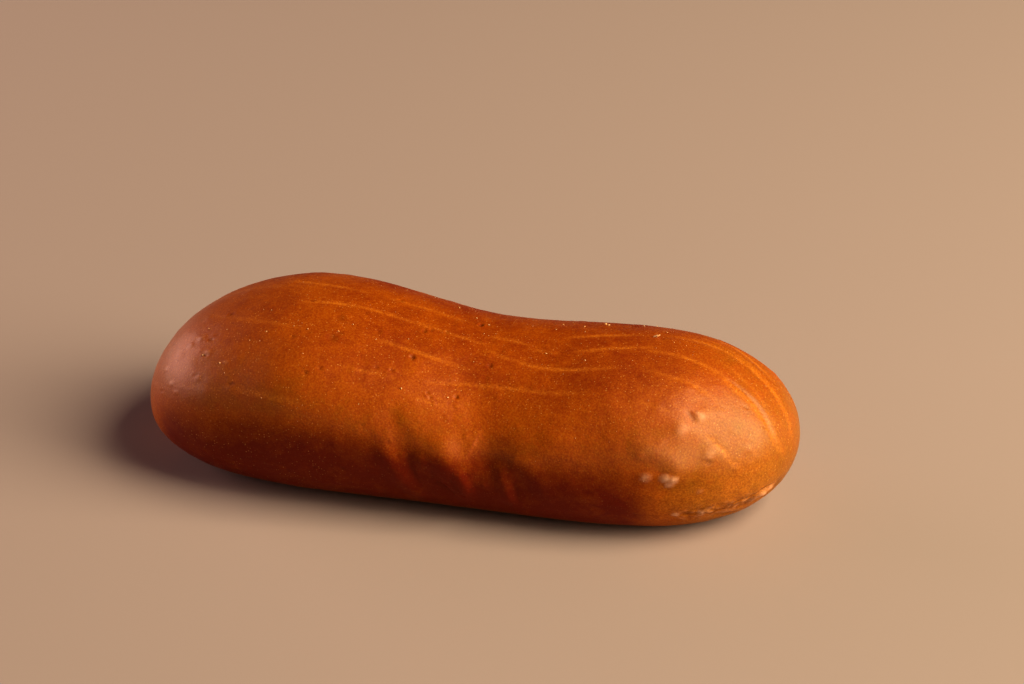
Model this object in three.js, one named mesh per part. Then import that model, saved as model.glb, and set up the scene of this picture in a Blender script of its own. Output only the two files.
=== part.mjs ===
// A long soft bread roll: a big lobe, a shallow waist, a smaller blunt lobe and a flat base.
// Millimetres. +X runs along the roll to its blunt end, -Y is the front and +Z is up.

import * as THREE from 'three';
import { mergeVertices } from 'three/addons/utils/BufferGeometryUtils.js';

const { degToRad, lerp, smoothstep } = THREE.MathUtils;

// Length of the roll, and the full sections that shape it, at their place along it
const LENGTH = 178;
const BIG_LOBE = { at: -54, width: 67, height: 52 };
const WAIST = { at: 8, width: 59, height: 42 };
const BLUNT_LOBE = { at: 71, width: 63, height: 46.5 };

// Each end closes from its full section: a larger number stays full for longer,
// seen from above (plan), over the top (crown) and under the belly (under).
// The tip sits at tipHeight above the base, and is swung sideways towards the back
const LEFT_END = { plan: 4.1, crown: 2.2, under: 5.8, tipHeight: 14, swing: -2 };
const RIGHT_END = { plan: 4.4, crown: 3.2, under: 5, tipHeight: 18.5, swing: 5 };
const TIP_REACH = 4;

// Section: squareness of the oval, height of its widest line as a share of the height,
// how far the soft underside was pressed flat, and the rounding of the base's edge
const SQUARENESS = 2.2;
const WIDEST_LINE = 0.46;
const PRESSED_FLAT = 6;
const BASE_ROUNDING = 3;

// Folds, creases and blisters of the skin. Each follows points given by their distance
// along the roll and their turn round it in degrees: 0 crown, 90 front, 180 base, 270 back.
// spread is the half width and rise the height, which is below zero for a crease or hollow
const SKIN_RELIEF = [
  // front of the waist: a full shoulder, a wide hollow beside it, then the folds
  { along: [-37, -6], turn: [62, 72], spread: 21, rise: 2 },
  { along: [8, 22], turn: [44, 24], spread: 21, rise: -1.6 },
  { along: [-13.5, -10, -7.5, -5.5], turn: [66, 77, 91, 105], spread: 4.4, rise: -0.55 },
  { along: [-15, -11, -7], turn: [86, 103, 115], spread: 3.4, rise: 0.6 },
  { along: [-3, -0.5, 2.5], turn: [95, 102, 111], spread: 2.6, rise: -0.7 },
  { along: [0.5, 3, 4.5], turn: [80, 92, 106], spread: 5.8, rise: 0.9 },
  { along: [13, 17, 22], turn: [90, 94, 99], spread: 6.5, rise: -0.7 },
  { along: [15.5, 17, 17.6], turn: [89, 98, 110], spread: 2.4, rise: 0.9 },
  { along: [23, 27], turn: [84, 97], spread: 3.8, rise: 0.5 },
  { along: [37, 39], turn: [60, 76], spread: 10, rise: -0.5 },
  // front of the blunt end: a flatter shoulder, blisters and the crease above the base
  { along: [71], turn: [46], spread: 16, rise: -1 },
  { along: [66.4], turn: [38], spread: 4, rise: 0.45 },
  { along: [62.3], turn: [52], spread: 4, rise: 0.4 },
  { along: [60.6], turn: [84], spread: 4, rise: 0.6 },
  { along: [55], turn: [84], spread: 3.6, rise: 0.45 },
  { along: [70], turn: [68], spread: 4, rise: 0.35 },
  { along: [69, 78, 85], turn: [126, 124, 132], spread: 2.6, rise: -0.8 },
  // back of the waist
  { along: [-8, -5, -4], turn: [292, 274, 254], spread: 3.4, rise: -0.8 },
  { along: [-1, 2, 3], turn: [294, 272, 256], spread: 4, rise: 0.9 },
  { along: [9, 13], turn: [286, 268], spread: 7, rise: -0.7 },
  { along: [18, 19], turn: [276, 258], spread: 3, rise: 0.6 },
];
const RELIEF_STARTS_AT = 5;

// Facets: steps along and round the roll, and how strongly they crowd towards
// the waist and towards the upper front, where the skin has its folds and marks
const STEPS_ALONG = 80;
const STEPS_ROUND = 72;
const WAIST_CROWDING = 0.3;
const FRONT_CROWDING = 0.35;
const FRONT_TURN = 45;

const CRUST = { color: 0xb25a18, roughness: 0.45, metalness: 0 };

function sectionSize(x, key) {
  const [from, to] = x < WAIST.at ? [BIG_LOBE, WAIST] : [WAIST, BLUNT_LOBE];
  return lerp(from[key], to[key], smoothstep(x, from.at, to.at));
}

function closing(station, bluntness) {
  return Math.sqrt(Math.max(0, 1 - Math.abs(station) ** bluntness));
}

function oval(value) {
  return Math.sign(value) * Math.abs(value) ** (2 / SQUARENESS);
}

// Flat at z = 0 where the dough would have sagged below the tray, with a rounded edge
function pressedOnTray(z) {
  const depth = THREE.MathUtils.clamp(z, -BASE_ROUNDING, BASE_ROUNDING) + BASE_ROUNDING;
  return depth ** 2 / (4 * BASE_ROUNDING) + Math.max(0, z - BASE_ROUNDING);
}

// Point of the plain skin: station runs from -1 to 1 along the roll, turn is in radians
function skinPoint(station, turn) {
  const x = station * LENGTH / 2;
  const end = station < 0 ? LEFT_END : RIGHT_END;
  const height = sectionSize(x, 'height');
  const belly = lerp(height * WIDEST_LINE, end.tipHeight, Math.abs(station) ** TIP_REACH);
  const halfWidth = sectionSize(x, 'width') / 2 * closing(station, end.plan);
  const crown = (height - belly) * closing(station, end.crown);
  const under = (belly + PRESSED_FLAT) * closing(station, end.under);
  const upward = oval(Math.cos(turn));
  const y = end.swing * station ** 2 - halfWidth * oval(Math.sin(turn));
  const z = belly + (upward > 0 ? crown : under) * upward;
  return new THREE.Vector3(x, y, pressedOnTray(z));
}

function reliefLines({ along, turn }) {
  const points = along.map((x, i) => skinPoint(x / (LENGTH / 2), degToRad(turn[i])));
  return points.map((point, i) => new THREE.Line3(point, points[i + 1] ?? point));
}

const RELIEF = SKIN_RELIEF.map((fold) => ({ ...fold, lines: reliefLines(fold) }));

// How far the skin stands out at a point, from every fold, crease and blister near it
function reliefAt(point) {
  const nearest = new THREE.Vector3();
  let height = 0;
  for (const { lines, spread, rise } of RELIEF) {
    const distances = lines.map((line) => {
      if (line.distanceSq() === 0) return line.start.distanceTo(point);
      return line.closestPointToPoint(point, true, nearest).distanceTo(point);
    });
    const share = Math.min(1, Math.min(...distances) / spread);
    height += rise * (1 - share ** 2) ** 2;
  }
  return height * smoothstep(point.z, 0, RELIEF_STARTS_AT);
}

// A sphere with its poles on the two tips, its rings crowded and each vertex laid on the skin
function plainSkin() {
  const sphere = new THREE.SphereGeometry(1, STEPS_ROUND, STEPS_ALONG);
  sphere.deleteAttribute('normal');
  sphere.deleteAttribute('uv');
  sphere.rotateZ(-Math.PI / 2);
  const skin = mergeVertices(sphere);
  const { position } = skin.attributes;
  const vertex = new THREE.Vector3();
  for (let i = 0; i < position.count; i++) {
    vertex.fromBufferAttribute(position, i);
    const polar = Math.acos(THREE.MathUtils.clamp(vertex.x, -1, 1));
    const station = Math.cos(polar + WAIST_CROWDING * Math.sin(2 * polar));
    const evenTurn = Math.atan2(-vertex.y, vertex.z);
    const turn = evenTurn - FRONT_CROWDING * Math.sin(evenTurn - degToRad(FRONT_TURN));
    position.setXYZ(i, ...skinPoint(station, turn));
  }
  skin.computeVertexNormals();
  return skin;
}

function rollGeometry() {
  const skin = plainSkin();
  const { position, normal } = skin.attributes;
  const vertex = new THREE.Vector3();
  const outward = new THREE.Vector3();
  for (let i = 0; i < position.count; i++) {
    vertex.fromBufferAttribute(position, i);
    outward.fromBufferAttribute(normal, i);
    vertex.addScaledVector(outward, reliefAt(vertex));
    position.setXYZ(i, ...vertex);
  }
  skin.computeBoundingBox();
  const middle = skin.boundingBox.getCenter(new THREE.Vector3());
  skin.translate(-middle.x, -middle.y, -skin.boundingBox.min.z);
  skin.computeVertexNormals();
  return skin;
}

const roll = new THREE.Mesh(rollGeometry(), new THREE.MeshStandardMaterial(CRUST));
roll.name = 'roll';

const part = new THREE.Group();
part.add(roll);

export default part;
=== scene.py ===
import math
import random

import bpy
import numpy as np
from mathutils import Matrix, Vector, noise
from mathutils.bvhtree import BVHTree
from mathutils.kdtree import KDTree


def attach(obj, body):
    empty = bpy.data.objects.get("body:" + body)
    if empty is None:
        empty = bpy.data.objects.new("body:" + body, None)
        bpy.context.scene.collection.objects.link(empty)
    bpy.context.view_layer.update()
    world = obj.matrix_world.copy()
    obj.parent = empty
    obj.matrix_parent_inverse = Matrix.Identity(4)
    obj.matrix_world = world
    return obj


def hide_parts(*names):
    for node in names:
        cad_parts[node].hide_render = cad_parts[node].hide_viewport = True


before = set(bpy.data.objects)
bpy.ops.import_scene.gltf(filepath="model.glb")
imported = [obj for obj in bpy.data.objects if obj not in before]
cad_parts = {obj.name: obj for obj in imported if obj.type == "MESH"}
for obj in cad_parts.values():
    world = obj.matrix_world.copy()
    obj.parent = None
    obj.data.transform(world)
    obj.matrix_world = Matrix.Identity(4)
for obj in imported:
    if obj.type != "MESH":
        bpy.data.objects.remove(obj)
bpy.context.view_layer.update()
mm = 0.001


# camera: where it stands, and where the middle of the roll's base falls in the picture
view = {
    "picture": (1024, 684),
    "rollAt": (469.1, 466.5),  # pixels
    "roundFromFront": 13.7,  # degrees, towards the blunt end
    "lookingDown": 32,
    "distance": 777.2 * mm,
    "lens": 100,
    "sensor": 36,
}


def makeCamera():
    turn = math.radians(view["roundFromFront"])
    dip = math.radians(view["lookingDown"])
    ahead = Vector((-math.sin(turn) * math.cos(dip), math.cos(turn) * math.cos(dip), -math.sin(dip)))
    right = Vector((math.cos(turn), math.sin(turn), 0))
    up = right.cross(ahead)
    focal = view["lens"] / view["sensor"] * view["picture"][0]
    offRight = (view["rollAt"][0] - view["picture"][0] / 2) / focal
    offDown = (view["rollAt"][1] - view["picture"][1] / 2) / focal
    stand = -view["distance"] * (ahead + offRight * right - offDown * up)
    bpy.ops.object.camera_add(location=stand)
    camera = bpy.context.object
    camera.rotation_euler = Matrix((right, up, -ahead)).transposed().to_euler()
    camera.data.lens = view["lens"]
    camera.data.sensor_width = view["sensor"]
    bpy.context.scene.camera = camera
    print("camera set")


makeCamera()


# crust: the roll's skin, a fine copy of the solid with the small relief of the baked dough
crustShape = {
    "welded": 0.002 * mm,  # points nearer than this are one
    "subdivisions": 2,
    "coreHeight": 20 * mm,  # turns round the roll are measured from this line
    "restsBelow": 3 * mm,  # no relief where the base is pressed flat
    "waves": ((70, 0.16), (190, 0.11), (430, 0.035), (950, 0.014)),  # waves in a metre, height in mm
    "wavesSeed": 10,
}


def selectOnly(piece):
    bpy.ops.object.select_all(action="DESELECT")
    piece.select_set(True)
    bpy.context.view_layer.objects.active = piece


def copyOfSolid():
    crust = bpy.data.objects.new("crust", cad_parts["roll"].data.copy())
    bpy.context.collection.objects.link(crust)
    selectOnly(crust)
    bpy.ops.mesh.customdata_custom_splitnormals_clear()
    bpy.ops.object.mode_set(mode="EDIT")
    bpy.ops.mesh.select_all(action="SELECT")
    bpy.ops.mesh.remove_doubles(threshold=crustShape["welded"])
    bpy.ops.mesh.tris_convert_to_quads(face_threshold=math.pi, shape_threshold=math.pi)
    bpy.ops.object.mode_set(mode="OBJECT")
    smooth = crust.modifiers.new("smooth", "SUBSURF")
    smooth.levels = crustShape["subdivisions"]
    smooth.render_levels = crustShape["subdivisions"]
    bpy.ops.object.modifier_apply(modifier=smooth.name)
    bpy.ops.object.shade_smooth()
    return crust


crust = copyOfSolid()
skin = np.empty((len(crust.data.vertices), 3), np.float32)
crust.data.vertices.foreach_get("co", skin.ravel())
outward = np.empty_like(skin)
crust.data.vertex_normals.foreach_get("vector", outward.ravel())
skinFaces = BVHTree.FromObject(crust, bpy.context.evaluated_depsgraph_get())
skinPoints = KDTree(len(skin))
for index, place in enumerate(skin):
    skinPoints.insert(place, index)
skinPoints.balance()
print("crust copied,", len(skin), "points")


# a place on the skin from its millimetres along the roll and its degrees round it:
# 0 is the crown, 90 the front, 180 the base and -90 the back
def onSkin(along, turn):
    start = Vector((along * mm, 0, crustShape["coreHeight"]))
    angle = math.radians(turn)
    hit, normal, _, _ = skinFaces.ray_cast(start, Vector((0, -math.sin(angle), math.cos(angle))))
    return hit, normal


# cuts the corners of a line until it looks like a curve
def rounded(places, rounds=3):
    corners = np.array(places, float)
    for _ in range(rounds):
        if len(corners) < 3:
            break
        early = 0.75 * corners[:-1] + 0.25 * corners[1:]
        late = 0.25 * corners[:-1] + 0.75 * corners[1:]
        between = np.stack([early, late], 1).reshape(-1, 2)
        corners = np.concatenate([corners[:1], between[1:-1], corners[-1:]])
    return corners


# points every half millimetre or so along a line on the skin
def lineOnSkin(places, step=0.5 * mm):
    corners = rounded(places)
    knots = np.array([onSkin(along, turn)[0] for along, turn in corners])
    lengths = np.linalg.norm(np.diff(knots, axis=0), axis=1)
    reach = np.concatenate([[0], np.cumsum(lengths)])
    stops = np.linspace(0, reach[-1], max(2, int(reach[-1] / step)))
    fine = np.stack([np.interp(stops, reach, corners[:, side]) for side in (0, 1)], 1)
    return [onSkin(along, turn)[0] for along, turn in fine]


# how near each point of the skin is to a line, 1 on it and 0 beyond spread, and how far along it
def nearLine(points, spread):
    gap = np.full(len(skin), spread)
    share = np.zeros(len(skin))
    last = max(1, len(points) - 1)
    for step, point in enumerate(points):
        for _, index, distance in skinPoints.find_range(point, spread):
            if distance < gap[index]:
                gap[index] = distance
                share[index] = step / last
    return (1 - (gap / spread) ** 2) ** 2, share


def noiseOnSkin(perMetre, seed):
    shift = Vector((seed * 7.3, seed * 3.1, seed * 5.7))
    return np.array([noise.noise(Vector(place) * perMetre + shift) for place in skin])


def smoothStep(values, low, high):
    share = np.clip((values - low) / (high - low), 0, 1)
    return share * share * (3 - 2 * share)


# stretch marks: pale lines where the skin gave way as the dough rose
stretchMarks = {
    "depth": 0.12 * mm,
    "seen": [  # places along and round, how strongly it shows, half width in mm
        ([(-72, 9), (-62, 20), (-50, 25), (-40, 27)], 0.6, 1.0),
        ([(-47, 6), (-41, 5), (-32, 2), (-22, 1), (-12, 3)], 1.0, 1.0),
        ([(-16, 2), (-6, 3), (6, 7)], 0.7, 1.0),
        ([(-25, -16), (-17, -16), (-10, -18), (0, -16)], 0.7, 1.0),
        ([(-54, -19), (-41, -14), (-28, -16)], 0.9, 1.1),
        ([(-66, -7), (-58, -2), (-50, 0)], 0.3, 1.0),
        ([(-78, -29), (-63, -17), (-42, -9)], 0.4, 1.1),
        ([(-24, 24), (-15, 26), (-7, 29), (4, 32)], 0.75, 1.1),
        ([(-29, 45), (-22, 46), (-14, 47)], 0.5, 1.1),
        ([(-10, 55), (-5, 57), (2, 59)], 0.35, 1.1),
        ([(-7, 47), (3, 43), (14, 41), (26, 42), (37, 38)], 0.7, 1.0),
        ([(-60, 63), (-46, 63), (-34, 66)], 0.6, 1.6),
        ([(-76, 68), (-67, 65), (-58, 64)], 0.3, 1.2),
        ([(5, -3), (11, -3), (18, 0)], 0.7, 1.0),
        ([(18, 4), (22, 5), (26, 5)], 0.6, 1.0),
        ([(6, 12), (12, 17), (22, 22), (33, 21), (46, 15)], 0.9, 1.0),
        ([(28, 4), (40, -3), (50, -10)], 1.0, 1.0),
        ([(25, -12), (36, -18), (47, -25)], 0.9, 1.0),
        ([(51, -28), (62, -33), (72, -31), (80, -27), (86, -21), (88, -10)], 0.95, 1.6),
        ([(47, -5), (57, -7), (66, -3), (70, 2)], 1.0, 1.1),
        ([(65, -3), (75, 9), (81, 22), (86, 58), (87, 80)], 0.95, 2.0),
        ([(55, -51), (70, -46), (81, -39)], 1.0, 1.3),
        ([(66, -16), (74, -9), (80, 3), (84, 24)], 0.6, 0.9),
        ([(60, -40), (72, -36), (80, -30), (85, -29)], 0.6, 0.9),
        ([(48, 15), (55, 17), (61, 18), (66, 22), (71, 31)], 0.55, 1.1),
        ([(48, 41), (54, 41), (60, 45)], 0.4, 1.1),
        ([(67, 54), (70, 59), (72.5, 65), (76, 78), (79, 90)], 0.9, 1.2),
    ],
    "rim": ([(52, 104), (66, 107), (78, 110), (86, 112)], 0.85, 15),  # a wide patch low on the blunt end
    "unseen": 14,  # more of them down the back
    "unseenAlong": (-72, 40),
    "unseenTurn": (-105, -45),
    "unseenLength": (16, 40),
    "unseenBend": (-3, 3),
    "unseenSlant": (-7, 7),
    "unseenStrength": (0.5, 1),
    "unseenWidth": (0.9, 1.3),
    "seed": 4,
    "taper": 0.6,  # a smaller number keeps a line full for longer towards its ends
    "coarse": 420,  # waves of raggedness in a metre
    "fine": 1300,
    "evenPart": 0.85,
    "raggedPart": 1.1,
}


def allMarks():
    draw = random.Random(stretchMarks["seed"])
    marks = [*stretchMarks["seen"], stretchMarks["rim"]]
    for _ in range(stretchMarks["unseen"]):
        start = (draw.uniform(*stretchMarks["unseenAlong"]), draw.uniform(*stretchMarks["unseenTurn"]))
        length = draw.uniform(*stretchMarks["unseenLength"])
        middle = (start[0] + length / 2, start[1] + draw.uniform(*stretchMarks["unseenBend"]))
        finish = (start[0] + length, start[1] + draw.uniform(*stretchMarks["unseenSlant"]))
        strength = draw.uniform(*stretchMarks["unseenStrength"])
        marks.append(([start, middle, finish], strength, draw.uniform(*stretchMarks["unseenWidth"])))
    return marks


# the same for a line that fades out towards its ends
def nearStroke(places, width):
    near, share = nearLine(lineOnSkin(places), width * mm)
    return near * np.clip(np.sin(math.pi * share), 0, 1) ** stretchMarks["taper"]


stretch = np.zeros(len(skin))
ragged = (noiseOnSkin(stretchMarks["coarse"], seed=1) + noiseOnSkin(stretchMarks["fine"], seed=2)) / 2
for places, strength, width in allMarks():
    stretch = np.maximum(stretch, strength * nearStroke(places, width))
stretch = np.clip(stretch * (stretchMarks["evenPart"] + stretchMarks["raggedPart"] * ragged), 0, 1)
rise = -stretch * stretchMarks["depth"]
print("stretch marks laid")


# blisters and pits: place along and round, half width, and height or depth in mm
blisters = {
    "seen": [
        (65.5, 42, 2.2, 0.22), (61.5, 53, 2.6, 0.2), (69, 68, 2.4, 0.2), (59, 83.5, 2.0, 0.42),
        (60, 87.5, 1.8, 0.27), (61, 84.5, 1.8, 0.42), (54, 83.5, 2.1, 0.23), (52, 71, 1.9, 0.15),
        (76, 80, 2.0, 0.14), (61.5, 114, 1.4, 0.3), (68, 116, 1.4, 0.35), (67.5, 95, 1.2, 0.2),
        (74, 47, 1.4, 0.1), (70, 35, 2.2, 0.14), (78, 62, 1.8, 0.14), (57, 61, 2.0, 0.12),
        (-70, 34, 1.2, 0.22), (-66.5, 45, 1.3, 0.2), (-60.5, 50, 1.0, 0.2), (-80, 60, 1.3, 0.2),
        (-77, 69, 1.1, 0.22), (-75, 73, 1.0, 0.2), (-73, 39, 1.5, 0.18), (-68, 61, 1.2, 0.18),
    ],
    "scattered": 320,
    "width": (0.6, 2.0),
    "height": (0.03, 0.12),
    "paleFrom": 0.15,  # a higher blister than this is paler: thinner skin and a painted highlight
    "palest": 0.3,  # and one this high the palest: thin skin and a painted highlight
    "seed": 11,
}
pits = {
    "seen": [
        (-64, 14, 0.9, 0.5), (-67, 36, 0.9, 0.45), (-67, 47, 0.8, 0.3), (-43, 33, 0.9, 0.35),
        (-42, 4, 0.8, 0.5), (-33.5, 48, 1.0, 0.3), (-57.5, 61, 0.8, 0.3), (2, -16, 1.0, 0.8),
        (-11, 8, 1.0, 0.45), (-11.5, 32, 1.2, 0.45), (8.5, 26, 1.1, 0.3), (-19.5, 43, 0.8, 0.25),
        (2, 52, 0.9, 0.35), (-20.5, -17, 1.0, 0.3), (-5.5, 3, 0.8, 0.3), (76, 21, 0.9, 0.14),
        (69, 73, 1.3, 0.2), (-39.5, 29, 1.1, 0.2), (-31.5, 26, 1.2, 0.25), (-22, 19, 1.1, 0.2),
        (-33, 30, 2.2, 0.25), (-37, 51, 0.9, 0.4), (-27, 6, 0.8, 0.25), (-9.5, 5, 0.8, 0.4),
        (-33, 15, 2.0, 0.18), (-15.5, 43, 0.9, 0.25),
    ],
    "scattered": 60,
    "width": (0.5, 0.9),
    "depth": (0.10, 0.28),
    "rim": 0.25,  # raised edge, as a share of the depth
    "rimWidth": 2,  # as a multiple of the pit's own width
    "blackest": 0.75,  # a pit this deep is painted black inside, as shade
    "seed": 23,
}
# the scattered ones may be anywhere but underneath
scatteredOver = {"along": (-84, 84), "turn": (-125, 125)}


def scattered(settings, sizes):
    draw = random.Random(settings["seed"])
    spots = list(settings["seen"])
    for _ in range(settings["scattered"]):
        place = (draw.uniform(*scatteredOver["along"]), draw.uniform(*scatteredOver["turn"]))
        spots.append((*place, draw.uniform(*settings["width"]), draw.uniform(*settings[sizes])))
    return spots


pale = np.zeros(len(skin))
for along, turn, width, height in scattered(blisters, "height"):
    near, _ = nearLine([onSkin(along, turn)[0]], width * mm)
    rise += near * height * mm
    # paler skin on higher blisters, partly a painted highlight
    pale = np.maximum(pale, near * smoothStep(height, blisters["paleFrom"], blisters["palest"]))
pitShade = np.zeros(len(skin))
for along, turn, width, depth in scattered(pits, "depth"):
    middle = [onSkin(along, turn)[0]]
    near, _ = nearLine(middle, width * mm)
    wider, _ = nearLine(middle, pits["rimWidth"] * width * mm)
    rise += (pits["rim"] * (wider - near) - near) * depth * mm
    # painted shade inside each pit, darker the deeper it is
    pitShade = np.maximum(pitShade, near * min(1, depth / pits["blackest"]))
print("blisters and pits made")


# creases: edges of the waist's folds, the slit on the blunt end and the torn skin along its base, most
# with painted shade along them
creases = {
    "smooth": [  # places, half width, height or depth in mm, and how much painted shade it carries
        ([(62, 39.5), (63.5, 43.5), (64.5, 47.5)], 1.1, -0.3, 0.8),
        # a low ridge with a faint painted sheen along it
        ([(49, 63), (54.5, 67), (58, 71), (61, 75), (66, 84)], 4.5, 0.5, -0.05),
        ([(66, -1), (72, 3), (76, 7), (80, 15), (83.5, 39), (85.5, 62)], 0.8, -0.25, 0.3),
        ([(72, -27), (77.5, -24), (81.5, -21), (85, -24)], 0.7, -0.2, 0.25),
        ([(-1.5, 100), (0.5, 105), (3, 111)], 1.4, -0.4, 0.5),
        ([(16.6, 96), (17.3, 102), (17.8, 110)], 1.4, 0.12, 0),
        ([(18.9, 96), (19.8, 103), (20.2, 111)], 1.3, -0.25, 0.3),
        ([(-9, 84), (-8, 94), (-6, 105)], 1.5, -0.2, 0.25),
        ([(4.2, 91), (5.9, 99), (7, 109)], 2.4, 0.4, 0),
        ([(2.2, 97), (4, 105), (4.8, 112)], 1.6, -0.35, 0.35),
        ([(-6.2, 83), (-5, 88), (-4.2, 93)], 2.2, 0.25, 0),
        ([(8, 78), (13, 82), (19, 85)], 7, -0.6, 0.3),
    ],
    "torn": [  # the lip that stands out is pale, so less than 0
        ([(75, 116), (78, 120), (80, 122), (81.7, 121), (83.3, 125), (85, 140)], 0.8, -0.6, 0.65),
        ([(78, 134), (80, 131), (82, 129), (83.7, 134), (85, 144)], 1.4, 0.8, -0.45),
        ([(66.5, 112), (68.5, 114), (71, 113)], 0.7, -0.35, 0.4),
        ([(69.5, 121), (71.5, 123), (73.5, 121)], 0.8, -0.45, 0.5),
        ([(72, 115), (74.5, 119.5), (76.5, 123)], 0.9, -0.4, 0.4),
        ([(75, 127), (77, 126), (79, 128)], 0.7, -0.4, 0.45),
        ([(70, 131), (73, 134), (76, 141)], 0.8, -0.35, 0.4),
    ],
    "ragged": 0.9,
    "raggedLimits": (0.2, 1.6),
    "patchy": (0.9, 1.5, 1.3),  # pale skin: even part, ragged part and the most of it
    "crags": [(60, 116), (66, 117), (70, 119), (74, 122), (78, 126), (82, 136)],  # rough, above the base
    "cragsWidth": 5,
    "cragsHeight": 0.65,
    "cragsCoarse": 620,  # waves in a metre
    "cragsFine": 1400,  # half as high
    "cragsDark": 1.4,
    "cragsDarkest": 0.7,
    "cragsPale": 1.8,
    "cragsPaleFrom": 0.3,
    "cragsPalest": 0.5,
}
creaseShade = np.zeros(len(skin))
for name in ("smooth", "torn"):
    for places, width, height, dark in creases[name]:
        near = nearStroke(places, width)
        if name == "torn":
            near = near * np.clip(1 + creases["ragged"] * ragged, *creases["raggedLimits"])
        rise += near * height * mm
        # painted shade along each crease; a value below 0 makes the skin paler instead
        creaseShade = np.maximum(creaseShade, near * dark)
        pale = np.maximum(pale, near * -dark)
craggy = nearStroke(creases["crags"], creases["cragsWidth"])
crags = noiseOnSkin(creases["cragsCoarse"], seed=5) + noiseOnSkin(creases["cragsFine"], seed=6) / 2
rise += craggy * crags * creases["cragsHeight"] * mm
# painted shade in the crags' hollows
creaseShade = np.maximum(creaseShade, craggy * np.clip(-creases["cragsDark"] * crags, 0, creases["cragsDarkest"]))
tops = np.clip(creases["cragsPale"] * crags - creases["cragsPaleFrom"], 0, creases["cragsPalest"])
pale = np.maximum(pale, craggy * tops)
evenPart, raggedPart, most = creases["patchy"]
pale *= np.clip(evenPart + raggedPart * ragged, 0, most)
print("creases cut")

# fine unevenness everywhere, then the whole relief, which fades out where the roll rests
for seed, (perMetre, height) in enumerate(crustShape["waves"], crustShape["wavesSeed"]):
    rise += noiseOnSkin(perMetre, seed) * height * mm
rise *= np.clip(skin[:, 2] / crustShape["restsBelow"], 0, 1) ** 2
skin += outward * rise[:, None]
crust.data.vertices.foreach_set("co", skin.ravel().astype(np.float32))
crust.data.update()
print("relief raised")


# how brown the skin is made: 0 golden, 1 deep red-brown. Mostly the oven's colour, but low on the sides
# mostly painted shade. Tilt is in degrees from lying level, and facing is the share of the skin's
# direction that is towards the back or the front
shadeAndBrowning = {
    "usual": 0.42,
    "crown": 0.27,  # more on top
    "crownWidth": 50,  # tilt
    "flank": 0.66,  # and low on the sides: painted shade, a little of it real colour
    "flankFrom": 66,  # tilt
    "flankTo": 105,
    "back": 0.3,  # and towards the back
    "backFrom": 0.15,  # facing
    "backTo": 0.6,
    "bigLobe": -0.08,  # a little less on the big lobe
    "bigFrom": -15 * mm,
    "bigTo": -50 * mm,
    "bluntEnd": -0.36,  # paler towards the blunt end, where the painted low shade fades out too
    "bluntFrom": 42 * mm,
    "bluntTo": 84 * mm,
    "bluntFlankTo": 66 * mm,
    "tip": 1,  # the painted low shade stops at the other end's tip
    "tipFrom": -75 * mm,
    "tipTo": -88 * mm,
    "underFrom": 5 * mm,  # below this the skin fades into the paler base
    "underTo": 0.4 * mm,
}
# the glaze brushed on it: the share that is missing along the middle, low down and towards the back
glaze = {
    "middle": 0.55,
    "middleFrom": 25 * mm,
    "middleTo": 60 * mm,
    "flank": 0.85,
    "flankFrom": 60,  # tilt
    "flankTo": 88,
    "ends": 0.7,  # less is missing low on the ends
    "endsFrom": 60 * mm,
    "endsTo": 85 * mm,
    "back": 0.85,
    "backFrom": 0.05,  # facing
    "backTo": 0.45,
}
# how much of the fine dusting shows: less on the front of the waist and of the blunt end
dusting = {
    "least": 0.3,
    "frontFrom": 0.6,  # facing
    "frontTo": 0.92,
    "alongFrom": -50 * mm,
    "alongTo": -5 * mm,
}


# evens values out over the skin, so that the folds don't show in them
def evenedOut(values, rounds=60):
    ends = np.empty((len(crust.data.edges), 2), np.int32)
    crust.data.edges.foreach_get("vertices", ends.ravel())
    here = ends.ravel()
    there = ends[:, ::-1].ravel()
    neighbours = np.bincount(here)
    for _ in range(rounds):
        values = (values + np.bincount(here, values[there]) / neighbours) / 2
    return values


tilt = np.degrees(np.arccos(np.clip(evenedOut(outward[:, 2]), -1, 1)))
onCrown = np.exp(-(tilt / shadeAndBrowning["crownWidth"]) ** 2)
# painted shade low on the sides, fading out towards both ends
paintedLowShade = smoothStep(tilt, shadeAndBrowning["flankFrom"], shadeAndBrowning["flankTo"])
paintedLowShade *= 1 - smoothStep(skin[:, 0], shadeAndBrowning["bluntFrom"], shadeAndBrowning["bluntFlankTo"])
paintedLowShade *= 1 - shadeAndBrowning["tip"] * smoothStep(skin[:, 0], shadeAndBrowning["tipFrom"], shadeAndBrowning["tipTo"])
towardsBlunt = smoothStep(skin[:, 0], shadeAndBrowning["bluntFrom"], shadeAndBrowning["bluntTo"])
shadedAndBrowned = shadeAndBrowning["usual"] + shadeAndBrowning["crown"] * onCrown + shadeAndBrowning["flank"] * paintedLowShade
shadedAndBrowned += shadeAndBrowning["back"] * smoothStep(outward[:, 1], shadeAndBrowning["backFrom"], shadeAndBrowning["backTo"])
shadedAndBrowned += shadeAndBrowning["bluntEnd"] * towardsBlunt
shadedAndBrowned += shadeAndBrowning["bigLobe"] * smoothStep(skin[:, 0], shadeAndBrowning["bigFrom"], shadeAndBrowning["bigTo"])
under = 1 - smoothStep(skin[:, 2], shadeAndBrowning["underTo"], shadeAndBrowning["underFrom"])
missing = glaze["middle"] * (1 - smoothStep(np.abs(skin[:, 0]), glaze["middleFrom"], glaze["middleTo"]))
missingLow = glaze["flank"] * smoothStep(tilt, glaze["flankFrom"], glaze["flankTo"])
missingLow *= 1 - glaze["ends"] * smoothStep(np.abs(skin[:, 0]), glaze["endsFrom"], glaze["endsTo"])
missingBack = glaze["back"] * smoothStep(outward[:, 1], glaze["backFrom"], glaze["backTo"])
missing = np.maximum(np.maximum(missing, missingLow), missingBack)
glazed = 1 - missing * (1 - np.clip(pale, 0, 1))
onFront = smoothStep(-outward[:, 1], dusting["frontFrom"], dusting["frontTo"])
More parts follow.
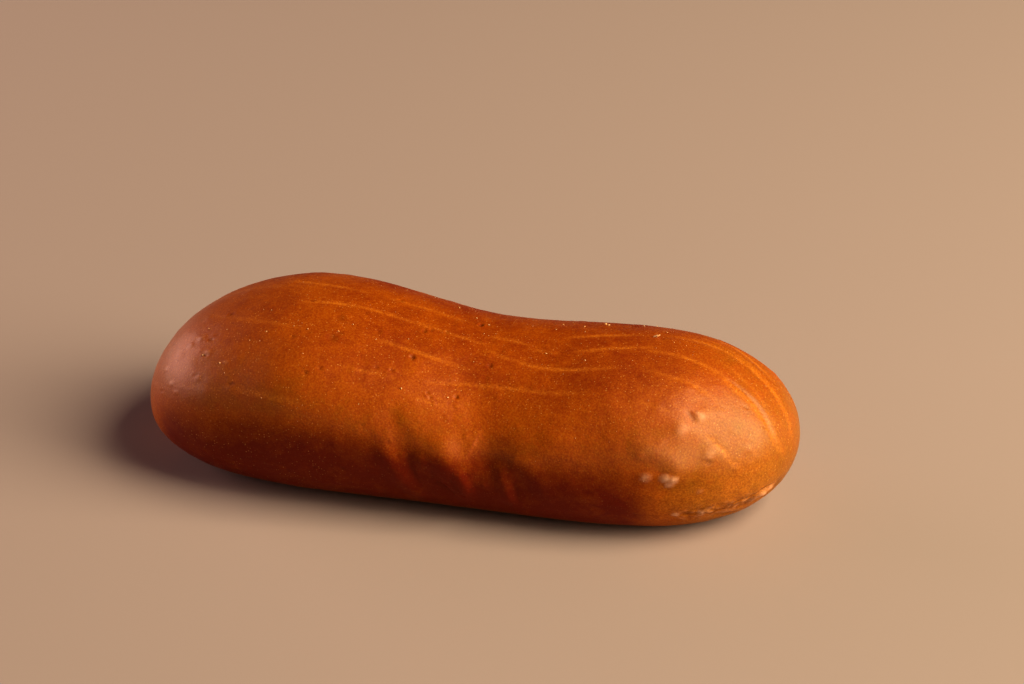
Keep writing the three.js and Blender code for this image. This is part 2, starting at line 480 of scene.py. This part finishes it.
onFront *= smoothStep(skin[:, 0], dusting["alongFrom"], dusting["alongTo"])
dusted = 1 - (1 - dusting["least"]) * onFront


def keepOnPoints(name, values):
    kept = crust.data.attributes.new(name, "FLOAT", "POINT")
    kept.data.foreach_set("value", np.clip(values, 0, 1).astype(np.float32))


keepOnPoints("shadedAndBrowned", shadedAndBrowned)
keepOnPoints("stretch", stretch)
keepOnPoints("pitShade", pitShade)
keepOnPoints("creaseShade", creaseShade)
keepOnPoints("pale", pale)
keepOnPoints("under", under)
keepOnPoints("glazed", glazed)
keepOnPoints("dusted", dusted)
print("browningAndShade kept on the crust")


# small helpers for the materials
def newMaterial(name):
    material = bpy.data.materials.new(name)
    material.use_nodes = True
    tree = material.node_tree
    return material, tree, tree.nodes["Principled BSDF"]


def addNode(tree, kind, inputs=None, **settings):
    node = tree.nodes.new("ShaderNode" + kind)
    for name, value in settings.items():
        setattr(node, name, value)
    for name, value in (inputs or {}).items():
        if isinstance(value, bpy.types.NodeSocket):
            tree.links.new(value, node.inputs[name])
        else:
            node.inputs[name].default_value = value
    return node


def attribute(tree, name):
    return addNode(tree, "Attribute", attribute_name=name).outputs["Fac"]


def noiseAt(tree, place, perMetre, detail=3, roughness=0.5):
    inputs = {"Vector": place, "Scale": perMetre, "Detail": detail, "Roughness": roughness}
    return addNode(tree, "TexNoise", inputs).outputs["Fac"]


def maths(tree, operation, first, second=0.5, clamped=False):
    node = addNode(tree, "Math", {0: first, 1: second}, operation=operation, use_clamp=clamped)
    return node.outputs["Value"]


def remap(tree, value, low, high, newLow=0, newHigh=1):
    inputs = {"Value": value, "From Min": low, "From Max": high, "To Min": newLow, "To Max": newHigh}
    return addNode(tree, "MapRange", inputs, clamp=True).outputs["Result"]


def blended(tree, share, first, second, how="MIX"):
    node = addNode(tree, "Mix", data_type="RGBA", blend_type=how)
    for socket, value in (("Factor_Float", share), ("A_Color", first), ("B_Color", second)):
        target = next(entry for entry in node.inputs if entry.identifier == socket)
        if isinstance(value, bpy.types.NodeSocket):
            tree.links.new(value, target)
        else:
            target.default_value = value
    return next(entry for entry in node.outputs if entry.identifier == "Result_Color")


# baked skin: golden to red-brown, glazed, with pale stretched lines, pores and a pale fine grain, and
# painted shade in creases, pits and pores and low on the sides.
# Noise is waves in a metre, detail and roughness. A range is what goes in, then what it becomes
crustFinish = {
    "mottle": (85, 5, 0.6),
    "mottleBaked": (0.25, 0.75, -0.17, 0.17),
    "mottleRough": (0.3, 0.7, 0.39, 0.49),
    "cloud": (420, 4, 0.6),
    "cloudBaked": (0.25, 0.75, -0.10, 0.10),
    "grain": (2000, 3, 0.65),
    "grainOnStretch": (0.3, 0.7, 0.3, 0.75),
    "grainPale": (0.48, 0.72, 0, 0.22),
    "grainPaleBaked": (0.6, 1, 1, 0.2),  # less of it where the skin is deep brown
    "grainDark": (0.28, 0.52, 0.35, 0),
    "pores": 1400.0,  # in a metre
    "poreSize": (0.10, 0.26, 1, 0),
    "poresPale": (0.54, 0.92, 0, 0.7),  # some hold flour
    "poresDark": (0.05, 0.20, 0.5, 0),
    "golden": (0.325, 0.120, 0.002, 1),
    "brown": (0.43, 0.097, 0.0005, 1),
    "deep": (0.215, 0.018, 0.001, 1),
    "stretched": (0.76, 0.280, 0.025, 1),
    # painted shade, for creases, pits and the darker pores
    "recessShade": (0.11, 0.014, 0.001, 1),
    "speck": (0.80, 0.36, 0.03, 1),
    "dust": (0.85, 0.48, 0.16, 1),
    # thin pale skin, with painted highlight and sheen on blisters and a ridge
    "paleSkinAndSheen": (0.94, 0.58, 0.42, 1),
    "underside": (0.42, 0.17, 0.05, 1),
    "places": [  # kept value, how much it shows, and the colour it brings
        ("creaseShade", 0.6, "recessShade"),
        ("pitShade", 0.8, "recessShade"),
        ("pale", 0.8, "paleSkinAndSheen"),
        ("under", 0.6, "underside"),
    ],
    "rougher": [("stretch", 0.10), ("under", 0.35)],
    "bareGloss": 0.03,  # of the skin under the glaze
    "glaze": 0.9,
    "glazeRoughness": 0.45,
    "grainBump": {"Strength": 0.3, "Distance": 0.12 * mm},
    "poreBump": {"Strength": 0.25, "Distance": 0.1 * mm},
}


def crustMaterial():
    material, tree, shader = newMaterial("bakedCrust")
    place = addNode(tree, "TexCoord").outputs["Object"]
    mottle = noiseAt(tree, place, *crustFinish["mottle"])
    cloud = noiseAt(tree, place, *crustFinish["cloud"])
    grain = noiseAt(tree, place, *crustFinish["grain"])
    level = maths(tree, "ADD", attribute(tree, "shadedAndBrowned"), remap(tree, mottle, *crustFinish["mottleBaked"]))
    level = maths(tree, "ADD", level, remap(tree, cloud, *crustFinish["cloudBaked"]), True)
    ramp = addNode(tree, "ValToRGB", {"Fac": level})
    ramp.color_ramp.elements[0].color = crustFinish["golden"]
    ramp.color_ramp.elements[1].color = crustFinish["deep"]
    ramp.color_ramp.elements.new(0.5).color = crustFinish["brown"]
    colour = ramp.outputs["Color"]

    streak = remap(tree, grain, *crustFinish["grainOnStretch"])
    streak = maths(tree, "MULTIPLY", attribute(tree, "stretch"), streak)
    colour = blended(tree, streak, colour, crustFinish["stretched"])
    specks = remap(tree, grain, *crustFinish["grainPale"])
    specks = maths(tree, "MULTIPLY", specks, remap(tree, level, *crustFinish["grainPaleBaked"]))
    colour = blended(tree, specks, colour, crustFinish["speck"])
    colour = blended(tree, remap(tree, grain, *crustFinish["grainDark"]), colour, crustFinish["deep"])

    cells = addNode(tree, "TexVoronoi", {"Vector": place, "Scale": crustFinish["pores"]})
    spot = remap(tree, cells.outputs["Distance"], *crustFinish["poreSize"])
    chosen = addNode(tree, "SeparateColor", {0: cells.outputs["Color"]}).outputs[0]
    pale = maths(tree, "MULTIPLY", spot, remap(tree, chosen, *crustFinish["poresPale"]))
    pale = maths(tree, "MULTIPLY", pale, attribute(tree, "dusted"))
    # painted shade in some of the pores
    dark = maths(tree, "MULTIPLY", spot, remap(tree, chosen, *crustFinish["poresDark"]))
    colour = blended(tree, pale, colour, crustFinish["dust"])
    colour = blended(tree, dark, colour, crustFinish["recessShade"])

    for name, most, towards in crustFinish["places"]:
        share = maths(tree, "MULTIPLY", attribute(tree, name), most)
        colour = blended(tree, share, colour, crustFinish[towards])
    tree.links.new(colour, shader.inputs["Base Color"])

    rough = remap(tree, mottle, *crustFinish["mottleRough"])
    for name, more in crustFinish["rougher"]:
        rough = maths(tree, "ADD", rough, maths(tree, "MULTIPLY", attribute(tree, name), more), True)
    tree.links.new(rough, shader.inputs["Roughness"])
    shader.inputs["Specular IOR Level"].default_value = crustFinish["bareGloss"]
    shader.inputs["Coat Roughness"].default_value = crustFinish["glazeRoughness"]
    coat = maths(tree, "MULTIPLY", attribute(tree, "glazed"), crustFinish["glaze"])
    tree.links.new(coat, shader.inputs["Coat Weight"])

    fine = addNode(tree, "Bump", {**crustFinish["grainBump"], "Height": grain})
    over = {"Height": cells.outputs["Distance"], "Normal": fine.outputs["Normal"]}
    bumpy = addNode(tree, "Bump", {**crustFinish["poreBump"], **over}).outputs["Normal"]
    tree.links.new(bumpy, shader.inputs["Normal"])
    tree.links.new(bumpy, shader.inputs["Coat Normal"])
    return material


crust.data.materials.clear()
crust.data.materials.append(crustMaterial())
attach(crust, "root")
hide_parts("roll")
print("crust finished")


# crumbs: grains of flour and crumb that lie on the crust
crumbs = {
    "seen": [  # place along and round, and size
        (-68, 47, 0.55), (-62, 51, 0.6), (-63, 29, 0.4), (-51, 31, 0.5), (-40, 27, 0.45), (-32, 25, 0.5),
        (-60, 56, 0.4), (-39, 42, 0.4), (-52, 37, 0.35), (0, -24, 0.45), (4, -18, 0.45), (4, -5, 0.4),
        (22, -22, 0.5), (22, 7, 0.55), (4, 25, 0.35), (-12, 52, 0.55), (-29, 18, 0.4), (-14, 19, 0.35),
        (-6, -34, 0.45), (29, -30, 0.5), (30, -21, 0.4), (34, -38, 0.9), (35, -36, 0.75), (33, 12, 0.45),
        (51, -34, 0.45), (44, -42, 0.5), (47, -49, 0.5), (23, -32, 0.4), (54, -21, 0.35), (-69, 26, 0.4),
        (-55, 37, 0.35), (-44, 26, 0.35), (-22, 25, 0.35), (-48, 65, 0.35), (-22, 62, 0.35), (0, 53, 0.4),
        (-5, 20, 0.35),
    ],
    "slimness": 0.8,  # width as a share of the length
    "flake": (49, -24, 2.3, 1.0, (0.9, 0.05, 0.43)),  # the long one: place, length, width, direction
    "scattered": 220,
    "size": (0.10, 0.24),
    "scatteredSlimness": (0.6, 1),
    "along": (-82, 80),
    "turn": (-10, 36),  # middle and spread
    "thickness": 0.7,  # as a share of the width
    "lumpy": (0.75, 1.25),
    "standsOut": 0.25,  # as a share of the width
    "seed": 31,
    "darker": (0.78, 0.45, 0.20, 1),
    "paler": (0.92, 0.70, 0.45, 1),
    "tones": 900,  # waves in a metre
    "toneRange": (0.35, 0.65),
    "roughness": 0.8,
    "translucent": 0.6,
    "lightReach": 0.5 * mm,
}


def crumbMaterial():
    material, tree, shader = newMaterial("dryCrumb")
    place = addNode(tree, "TexCoord").outputs["Object"]
    tone = remap(tree, noiseAt(tree, place, crumbs["tones"]), *crumbs["toneRange"])
    colour = blended(tree, tone, crumbs["darker"], crumbs["paler"])
    tree.links.new(colour, shader.inputs["Base Color"])
    shader.inputs["Roughness"].default_value = crumbs["roughness"]
    shader.inputs["Subsurface Weight"].default_value = crumbs["translucent"]
    shader.inputs["Subsurface Radius"].default_value = (1, 1, 1)
    shader.inputs["Subsurface Scale"].default_value = crumbs["lightReach"]
    return material


def makeCrumbs():
    bpy.ops.object.select_all(action="DESELECT")
    bpy.ops.mesh.primitive_ico_sphere_add(subdivisions=1, radius=0.5)
    grain = bpy.context.object
    shape = np.array([corner.co for corner in grain.data.vertices])
    faces = np.array([list(face.vertices) for face in grain.data.polygons])
    draw = random.Random(crumbs["seed"])
    grains = []
    for along, turn, size in crumbs["seen"]:
        grains.append((along, turn, size, size * crumbs["slimness"], None))
    grains.append(crumbs["flake"])
    for _ in range(crumbs["scattered"]):
        size = draw.uniform(*crumbs["size"])
        place = (draw.uniform(*crumbs["along"]), draw.gauss(*crumbs["turn"]))
        grains.append((*place, size, size * draw.uniform(*crumbs["scatteredSlimness"]), None))
    points = []
    joined = []
    for along, turn, length, width, direction in grains:
        middle, normal = onSkin(along, turn)
        side = normal.orthogonal().normalized()
        side.rotate(Matrix.Rotation(draw.uniform(0, math.tau), 3, normal))
        if direction:
            side = Vector(direction).normalized()
        across = normal.cross(side).normalized()
        axes = np.array([side, across, side.cross(across)])
        lumps = shape * np.array([length, width, width * crumbs["thickness"]]) * mm
        lumps = lumps * np.array([[draw.uniform(*crumbs["lumpy"])] for _ in shape])
        lift = np.array(normal) * width * crumbs["standsOut"] * mm
        joined.append(faces + len(points))
        points.extend(lumps @ axes + np.array(middle) + lift)
    mesh = bpy.data.meshes.new("crumbs")
    mesh.from_pydata(np.array(points).tolist(), [], np.concatenate(joined).tolist())
    bpy.data.objects.remove(grain)
    piece = bpy.data.objects.new("crumbs", mesh)
    bpy.context.collection.objects.link(piece)
    mesh.materials.append(crumbMaterial())
    return piece


crumbPiece = makeCrumbs()
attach(crumbPiece, "root")
print("crumbs scattered")


# plain pale floor, a big soft light from the right, a weak one from the left,
# and one in front that shows in the glaze alone
studio = {
    "floorSize": 8,
    "floorBelow": 0.05 * mm,
    "floorColour": (0.44, 0.38, 0.44, 1),
    "floorRoughness": 0.8,
    "inGlazeOnly": "sheenFront",
    "lights": [  # name, place, aim, width and height, watts, colour
        ("softboxRight", (1.31, -0.06, 0.99), (0.02, 0, 0.03), 0.9, 1.7, 64, (1.0, 0.79, 0.45)),
        ("stripLeft", (-1.0, 0.17, 0.18), (-0.06, 0, 0.03), 0.95, 0.2, 7.5, (1.0, 0.62, 0.5)),
        ("sheenFront", (0.85, -0.93, 0.34), (0.07, 0, 0.03), 0.5, 0.5, 13, (1.0, 0.62, 0.32)),
    ],
    "sky": (0.5, 0.42, 0.32, 1),
    "skyStrength": 0.03,
    "gamma": 0.82,  # a little more contrast
}


def makeStudio():
    bpy.ops.object.select_all(action="DESELECT")
    bpy.ops.mesh.primitive_plane_add(size=studio["floorSize"], location=(0, 0, -studio["floorBelow"]))
    floor = bpy.context.object
    floor.name = "floor"
    material, _, shader = newMaterial("paleFloor")
    shader.inputs["Base Color"].default_value = studio["floorColour"]
    shader.inputs["Roughness"].default_value = studio["floorRoughness"]
    floor.data.materials.append(material)
    for name, place, aim, width, height, watts, colour in studio["lights"]:
        facing = (Vector(aim) - Vector(place)).to_track_quat("-Z", "Y").to_euler()
        bpy.ops.object.light_add(type="AREA", location=place, rotation=facing)
        light = bpy.context.object
        light.name = name
        light.data.shape = "RECTANGLE"
        light.data.size = width
        light.data.size_y = height
        light.data.energy = watts
        light.data.color = colour
        light.visible_diffuse = name != studio["inGlazeOnly"]
    world = bpy.data.worlds.new("softSky")
    world.use_nodes = True
    sky = world.node_tree.nodes["Background"]
    sky.inputs["Color"].default_value = studio["sky"]
    sky.inputs["Strength"].default_value = studio["skyStrength"]
    bpy.context.scene.world = world
    bpy.context.scene.view_settings.view_transform = "Standard"
    bpy.context.scene.view_settings.gamma = studio["gamma"]
    print("studio lit")


makeStudio()
